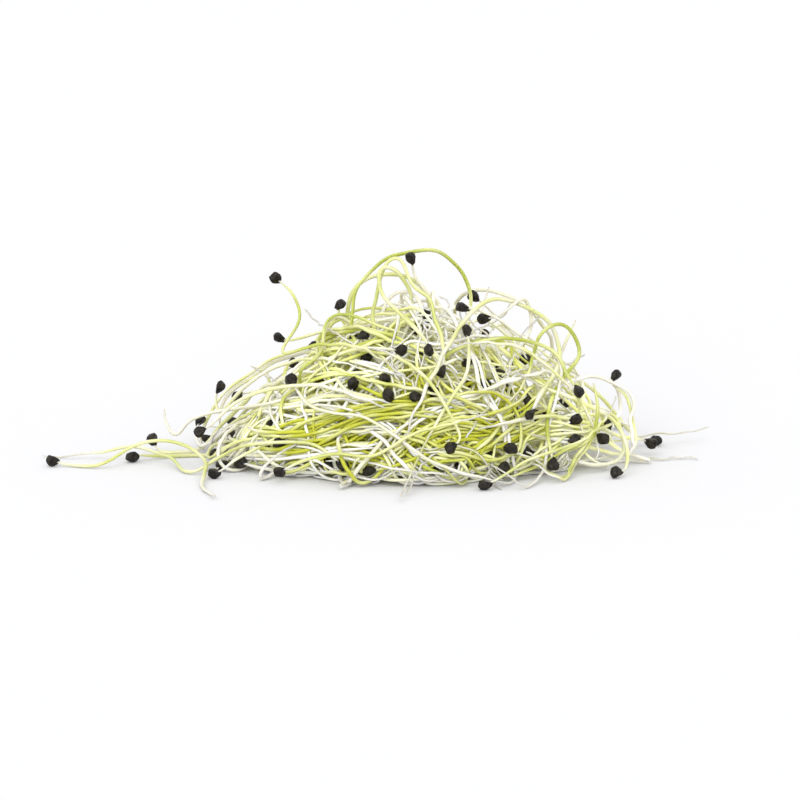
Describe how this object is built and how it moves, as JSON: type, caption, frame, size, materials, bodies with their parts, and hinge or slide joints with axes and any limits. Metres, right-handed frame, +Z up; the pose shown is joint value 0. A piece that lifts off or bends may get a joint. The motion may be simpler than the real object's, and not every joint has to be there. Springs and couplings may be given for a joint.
{
  "type": "onion sprouts",
  "caption": "Loose tangled heap of onion sprouts: curling green and pale stems with black seed husks at their tips and thin white roots, lying on a surface.",
  "frame": {"origin": "centre of the flat underside of the heap's core, on the surface that it lies on", "axes": "+X to the right in the picture, along the heap's longest way; +Y away from the camera; +Z up"},
  "size_m": [0.1515, 0.1015, 0.047],
  "materials": {
    "stem_green": "moist, slightly translucent stem, green by the husk and nearly white at the root",
    "tangle_pale": "moist, slightly translucent stems, from yellow-green to white",
    "husk_black": "dull black wrinkled seed coat"
  },
  "bodies": {
    "root": {"husk_back_arch": "husk_black", "husk_back_low": "husk_black", "husk_back_right": "husk_black", "husk_back_trail": "husk_black", "husk_front_low": "husk_black", "husk_front_middle": "husk_black", "husk_front_right": "husk_black", "husk_front_root": "husk_black", "husk_front_white": "husk_black", "husk_left_high": "husk_black", "husk_left_pair": "husk_black", "husk_left_shoulder": "husk_black", "husk_left_upper": "husk_black", "husk_right_arch": "husk_black", "husk_right_bow": "husk_black", "husk_right_drop": "husk_black", "husk_right_front": "husk_black", "husk_right_loop": "husk_black", "husk_right_low": "husk_black", "husk_right_low_root": "husk_black", "husk_right_pair": "husk_black", "husk_right_root": "husk_black", "husk_tall_left": "husk_black", "husk_top_arch": "husk_black", "husk_top_left": "husk_black", "husk_top_middle": "husk_black", "husk_trail_low": "husk_black", "husk_trail_mid": "husk_black", "husk_trail_short": "husk_black", "sprout_back_arch": "stem_green", "sprout_back_low": "stem_green", "sprout_back_right": "stem_green", "sprout_back_trail": "stem_green", "sprout_front_low": "stem_green", "sprout_front_middle": "stem_green", "sprout_front_right": "stem_green", "sprout_front_root": "stem_green", "sprout_front_white": "stem_green", "sprout_left_high": "stem_green", "sprout_left_pair": "stem_green", "sprout_left_shoulder": "stem_green", "sprout_left_upper": "stem_green", "sprout_right_arch": "stem_green", "sprout_right_bow": "stem_green", "sprout_right_drop": "stem_green", "sprout_right_front": "stem_green", "sprout_right_loop": "stem_green", "sprout_right_low": "stem_green", "sprout_right_low_root": "stem_green", "sprout_right_pair": "stem_green", "sprout_right_root": "stem_green", "sprout_tall_left": "stem_green", "sprout_top_arch": "stem_green", "sprout_top_left": "stem_green", "sprout_top_middle": "stem_green", "sprout_trail_low": "stem_green", "sprout_trail_mid": "stem_green", "sprout_trail_short": "stem_green", "tangle": "tangle_pale"}
  },
  "joints": []
}
